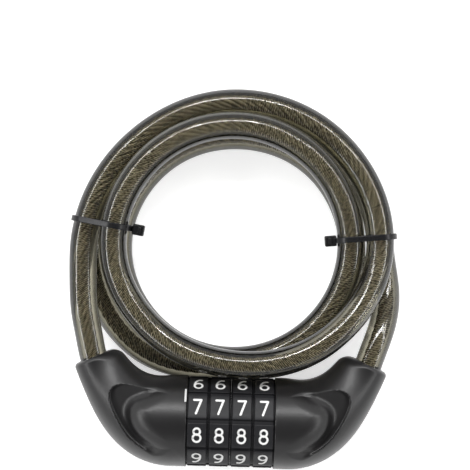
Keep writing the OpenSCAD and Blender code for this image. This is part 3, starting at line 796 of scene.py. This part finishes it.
def tie(angle, tail):
    """Strap round the four strands that cross the half plane at the angle, and its head."""
    q = lie_at(angle + 360 * np.arange(4))
    centres = np.stack([BUNDLE_R + STRAND * q[:, 0], BUNDLE[2] + STRAND * q[:, 1]], 1)
    around = centres - centres.mean(0)
    hull = centres[np.argsort(np.arctan2(around[:, 1], around[:, 0]))]
    # drop a corner that lies inside the hull of the others
    keep = []
    for i in range(len(hull)):
        a, b, c = hull[i - 1], hull[i], hull[(i + 1) % len(hull)]
        if (b[0] - a[0]) * (c[1] - b[1]) - (b[1] - a[1]) * (c[0] - b[0]) > 0:
            keep.append(i)
    hull = hull[keep]
    innermost, top = centres[:, 0].min(), centres[:, 1].max()
    head_at = np.array([innermost - STRAP_IN - TIE_HEAD[0], 0, top - 3.0])

    def sdf(p):
        d = polygon_distance(p[:, [0, 2]], hull)
        strap = np.abs(d - STRAP_IN - STRAP_MID) - STRAP_HALF_T
        strap = round_max(strap, np.abs(p[:, 1]) - STRAP_HALF_W, 0.25)
        s = p - head_at
        e = np.abs(s) - TIE_HEAD + TIE_HEAD_ROUND
        head = np.linalg.norm(np.maximum(e, 0), axis=1) + np.minimum(e.max(1), 0)
        head = head - TIE_HEAD_ROUND
        # the tail's cut end, which fills the slot
        end = np.maximum(np.abs(s[:, 0] + 0.5) - TAIL_HALF_T, np.abs(s[:, 1]) - TAIL_HALF_W)
        end = round_max(end, np.abs(s[:, 2] - tail / 2) - TIE_HEAD[2] - tail / 2, 0.15)
        return round_min(round_min(strap, head, 0.3), end, 0.12)

    lo = (head_at[0] - 3.4, -3.2, -0.6)
    hi = (centres[:, 0].max() + 8.4, 3.2, top + 8.6)
    pts, quads, normals = contour(sdf, lo, hi, 0.3)
    a = math.radians(180 - angle)
    turn = np.array([(math.cos(a), math.sin(a), 0), (-math.sin(a), math.cos(a), 0), (0, 0, 1)])
    return pts @ turn + (BUNDLE[0], BUNDLE[1], 0), quads, normals @ turn


ties = []
for name, angle, tail in (("left_tie", 9, 0.9), ("right_tie", 174, 1.2)):
    pts, quads, normals = tie(angle, tail)
    obj = make_object(name + "_strap", pts, quads.tolist(), normals=normals)
    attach(obj, "root")
    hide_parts(name)
    ties.append(obj)


# ---------------------------------------------------------------- materials
def material(name, **sockets):
    """A material, its node tree and its shader; an underscore stands for a space."""
    mat = bpy.data.materials.new(name)
    mat.use_nodes = True
    bsdf = mat.node_tree.nodes["Principled BSDF"]
    for key, value in sockets.items():
        bsdf.inputs[key.replace("_", " ")].default_value = value
    return mat, mat.node_tree, bsdf


def add(tree, kind, inputs=None, **props):
    """A node with its properties; an input is a value or the socket that feeds it."""
    node = tree.nodes.new("ShaderNode" + kind)
    for key, value in props.items():
        setattr(node, key, value)
    for key, value in (inputs or {}).items():
        if isinstance(value, bpy.types.NodeSocket):
            tree.links.new(value, node.inputs[key])
        else:
            node.inputs[key].default_value = value
    return node


def noise(tree, scale, detail=2.0, rough=0.5, vector=None):
    """Cloudy noise in the object's own place; the scale counts clouds to a metre."""
    where = vector or add(tree, "TexCoord").outputs["Object"]
    return add(
        tree,
        "TexNoise",
        {"Vector": where, "Scale": scale, "Detail": detail, "Roughness": rough},
    ).outputs["Fac"]


def ramp(tree, fac, *stops):
    """Colours between stops, each a place and its colour."""
    node = add(tree, "ValToRGB", {"Fac": fac})
    ends = node.color_ramp.elements
    while len(ends) < len(stops):
        ends.new(0.5)
    for element, (at, color) in zip(ends, stops):
        element.position = at
        element.color = (*color, 1)
    return node.outputs["Color"]


def grey(v):
    return (v, v, v)


def multiply(tree, one, other):
    """The product of two colours, which are inputs 6 and 7 of a colour mix."""
    return add(
        tree, "Mix", {"Factor": 1.0, 6: one, 7: other}, data_type="RGBA", blend_type="MULTIPLY"
    ).outputs[2]


def bump(tree, bsdf, height, strength, distance):
    """Fine relief; the distance is in metres."""
    node = add(tree, "Bump", {"Height": height, "Strength": strength, "Distance": distance})
    tree.links.new(node.outputs["Normal"], bsdf.inputs["Normal"])


def plastic(name, color, low, high, grain, gloss=0.5):
    """Satin black moulding: very fine grain, faint cloudiness in colour.

    The roughness lies between low and high.
    """
    mat, tree, bsdf = material(name, Specular_IOR_Level=gloss)
    cloud = noise(tree, 60, 3)
    fine = noise(tree, 4200, 2)
    tint = ramp(tree, cloud, (0.3, [c * 0.85 for c in color]), (0.7, [c * 1.18 for c in color]))
    tree.links.new(tint, bsdf.inputs["Base Color"])
    rough = ramp(tree, fine, (0.35, grey(low)), (0.65, grey(high)))
    tree.links.new(rough, bsdf.inputs["Roughness"])
    bump(tree, bsdf, fine, grain, 0.00005)
    return mat


def dress(obj, mat):
    """Give the whole object one material."""
    for slot in obj.material_slots:
        slot.material = mat
    if not obj.material_slots:
        obj.data.materials.append(mat)


housing = plastic("housing_plastic", (0.013, 0.0125, 0.013), 0.31, 0.4, 0.3)
wheel_mat = plastic("wheel_plastic", (0.018, 0.018, 0.02), 0.36, 0.46, 0.18, 0.22)
# the same plastic painted darker: painted shade for the gaps between the wheels
gap_painted_shade_mat = plastic("wheel_gap_painted_shade", (0.006, 0.006, 0.007), 0.4, 0.5, 0.18, 0.12)
nylon = plastic("tie_nylon", (0.012, 0.012, 0.013), 0.2, 0.32, 0.12, 0.3)

figure_mat, tree, bsdf = material("figure_paint", Roughness=0.45)
wear = noise(tree, 900, 4, 0.6)
tree.links.new(
    ramp(tree, wear, (0.25, (0.72, 0.72, 0.71)), (0.5, (0.88, 0.88, 0.87))),
    bsdf.inputs["Base Color"],
)
bump(tree, bsdf, wear, 0.2, 0.00004)

# white paint of the index mark, which also stands in for a bright line at the left half's edge:
# partly a painted highlight
mark_and_highlight_mat, tree, bsdf = material("white_mark", Roughness=0.5)
wear = noise(tree, 1400, 3, 0.6)
tree.links.new(
    ramp(tree, wear, (0.3, (0.6, 0.6, 0.6)), (0.6, (0.8, 0.8, 0.79))), bsdf.inputs["Base Color"]
)


def steel(name, color, rough):
    """Drawn or turned steel, with fine lines along X."""
    mat, tree, bsdf = material(name, Metallic=1.0)
    cloud = noise(tree, 220, 4)
    tint = ramp(tree, cloud, (0.3, [c * 0.82 for c in color]), (0.7, color))
    tree.links.new(tint, bsdf.inputs["Base Color"])
    place = add(tree, "TexCoord").outputs["Object"]
    drawn = add(tree, "Mapping", {"Vector": place, "Scale": (0.15, 1, 1)}).outputs["Vector"]
    lines = noise(tree, 3000, 2, 0.6, drawn)
    tree.links.new(
        ramp(tree, lines, (0.3, grey(rough - 0.08)), (0.7, grey(rough + 0.1))),
        bsdf.inputs["Roughness"],
    )
    bump(tree, bsdf, lines, 0.25, 0.00004)
    return mat


zinc = steel("core_steel", (0.62, 0.62, 0.64), 0.34)
spring = steel("spring_steel", (0.42, 0.42, 0.43), 0.3)
ring_steel = steel("ring_steel", (0.6, 0.55, 0.42), 0.3)

# clear vinyl, whose colour is painted darker towards its outline: painted shade for the dark that
# is seen through its edges
cover_mat, tree, bsdf = material("cable_cover", IOR=1.54, Transmission_Weight=1.0)
haze = noise(tree, 120, 3)
smoke = ramp(tree, haze, (0.3, (0.5, 0.47, 0.36)), (0.7, (0.62, 0.59, 0.46)))
facing = add(tree, "LayerWeight", {"Blend": 0.5}).outputs["Facing"]
# painted shade: the colour falls off from the cover's middle to its outline
limb_painted_shade = ramp(
    tree, facing, (0.09, grey(1.0)), (0.17, grey(0.3)), (0.35, grey(0.06)), (0.8, grey(0.025))
)
tree.links.new(multiply(tree, smoke, limb_painted_shade), bsdf.inputs["Base Color"])
tree.links.new(ramp(tree, haze, (0.3, grey(0.02)), (0.7, grey(0.05))), bsdf.inputs["Roughness"])

rope_mat, tree, bsdf = material("rope_steel", Metallic=0.25, Roughness=0.6)
uv = add(tree, "UVMap", uv_map="along").outputs["UV"]
# each strand is laid from fine wires, which cross it the other way
wires = add(tree, "Mapping", {"Vector": uv, "Rotation": (0, 0, 0.9)})
weave = add(
    tree,
    "TexWave",
    {"Vector": wires.outputs["Vector"], "Scale": 0.95, "Distortion": 0.6, "Detail": 1.0},
    wave_type="BANDS",
    bands_direction="X",
).outputs["Fac"]
fleck = noise(tree, 900, 3, 0.6)
tint = ramp(tree, weave, (0.2, (0.03, 0.027, 0.018)), (0.65, (0.8, 0.73, 0.58)))
shade = ramp(tree, fleck, (0.38, grey(0.35)), (0.6, grey(1.0)))
tree.links.new(multiply(tree, tint, shade), bsdf.inputs["Base Color"])
bump(tree, bsdf, weave, 0.5, 0.0001)

for obj in (left, right):
    dress(obj, housing)
for obj, x in zip(wheels, WHEEL_X):
    obj.data.materials.append(wheel_mat)
    obj.data.materials.append(gap_painted_shade_mat)
    # the flat sides of the pads and what lies between two wheels, painted darker as shade in the
    # gaps
    for face in obj.data.polygons:
        face.material_index = int(abs(face.center[0] / MM - x) > RIM_W / 2 - 0.1)
for obj in figures:
    dress(obj, figure_mat)
for obj in (cable_main, cable_right):
    dress(obj, cover_mat)
for obj in (rope_main, rope_right):
    dress(obj, rope_mat)
for obj in ties:
    dress(obj, nylon)
for name in ("core_sleeve", "core_collar", "plug_pin", "left_ferrule", "right_ferrule"):
    dress(nodes[name], zinc)
for i in range(4):
    dress(nodes[f"gate_ring_{i + 1}"], ring_steel)
for name in ("detent_spring", "left_roll_pins", "right_roll_pins"):
    dress(nodes[name], spring)
# the index mark, painted white, partly a painted highlight
dress(nodes["index_mark"], mark_and_highlight_mat)


# ---------------------------------------------------------------- floor, light
scene = bpy.context.scene
scene.view_settings.view_transform = "Standard"


def seen_rays(tree):
    """1 for what the camera sees, also by a reflection or through the cover, and 0 for
    the light that the surroundings cast."""
    rays = add(tree, "LightPath").outputs
    seen = rays["Is Camera Ray"]
    for name in ("Is Glossy Ray", "Is Transmission Ray"):
        seen = add(tree, "Math", {0: seen, 1: rays[name]}, operation="MAXIMUM").outputs[0]
    return seen


FLOOR = 3000
floor = make_object(
    "floor", [(-FLOOR, -FLOOR, 0), (FLOOR, -FLOOR, 0), (FLOOR, FLOOR, 0), (-FLOOR, FLOOR, 0)],
    [(0, 1, 2, 3)],
)  # fmt: skip
floor_mat = bpy.data.materials.new("floor")
floor_mat.use_nodes = True
tree = floor_mat.node_tree
tree.nodes.clear()
seen = seen_rays(tree)
pale = add(tree, "BsdfDiffuse", {"Color": (0.86, 0.86, 0.86, 1)}).outputs[0]
glow = add(tree, "Emission", {"Color": (1, 1, 1, 1), "Strength": 0.6}).outputs[0]
lit = add(tree, "AddShader", {0: pale, 1: glow}).outputs[0]
out = add(tree, "OutputMaterial")
tree.links.new(
    add(tree, "MixShader", {0: seen, 1: pale, 2: lit}).outputs[0], out.inputs["Surface"]
)
floor.data.materials.append(floor_mat)

world = bpy.data.worlds.new("studio")
world.use_nodes = True
scene.world = world
tree = world.node_tree
tree.nodes.clear()
seen = seen_rays(tree)
soft = add(tree, "Background", {"Color": (1, 1, 1, 1), "Strength": 0.25}).outputs[0]
# pale round the horizon, as the floor is, and darker overhead
height = add(
    tree, "SeparateXYZ", {"Vector": add(tree, "TexCoord").outputs["Generated"]}
).outputs["Z"]
sky = ramp(tree, height, (0.3, grey(1.0)), (0.65, grey(0.5)), (0.93, grey(0.05)))
white = add(tree, "Background", {"Color": sky, "Strength": 1.0}).outputs[0]
out = add(tree, "OutputWorld")
tree.links.new(
    add(tree, "MixShader", {0: seen, 1: soft, 2: white}).outputs[0], out.inputs["Surface"]
)


LAMP_FAR, LAMP_W, LAMP_H, AIM_Y = 1.1, 0.12, 0.45, 0.05  # metres


def softbox(name, azimuth, tilt, power):
    """A lamp that looks at the object; the tilt is from straight overhead."""
    data = bpy.data.lights.new(name, "AREA")
    data.shape, data.size, data.size_y, data.energy = "RECTANGLE", LAMP_W, LAMP_H, power
    obj = bpy.data.objects.new(name, data)
    bpy.context.scene.collection.objects.link(obj)
    a, t = math.radians(azimuth), math.radians(tilt)
    obj.location = (
        LAMP_FAR * math.sin(t) * math.cos(a),
        AIM_Y + LAMP_FAR * math.sin(t) * math.sin(a),
        LAMP_FAR * math.cos(t),
    )
    obj.rotation_euler = (0, t, a)
    obj.visible_camera = False


# a ring of narrow lamps, strong beyond the bundle and weak on the near side
for azimuth, tilt, power in (
    (90, 36, 3.2), (60, 39, 1.9), (120, 39, 2.1), (30, 46, 1.5), (150, 46, 1.8), (0, 52, 1.3),
    (180, 52, 1.9), (-30, 52, 0.8), (210, 52, 1.3), (-60, 52, 0.25), (240, 52, 0.3),
    (270, 52, 0.2),
):  # fmt: skip
    softbox(f"lamp_{azimuth}", azimuth, tilt, power)
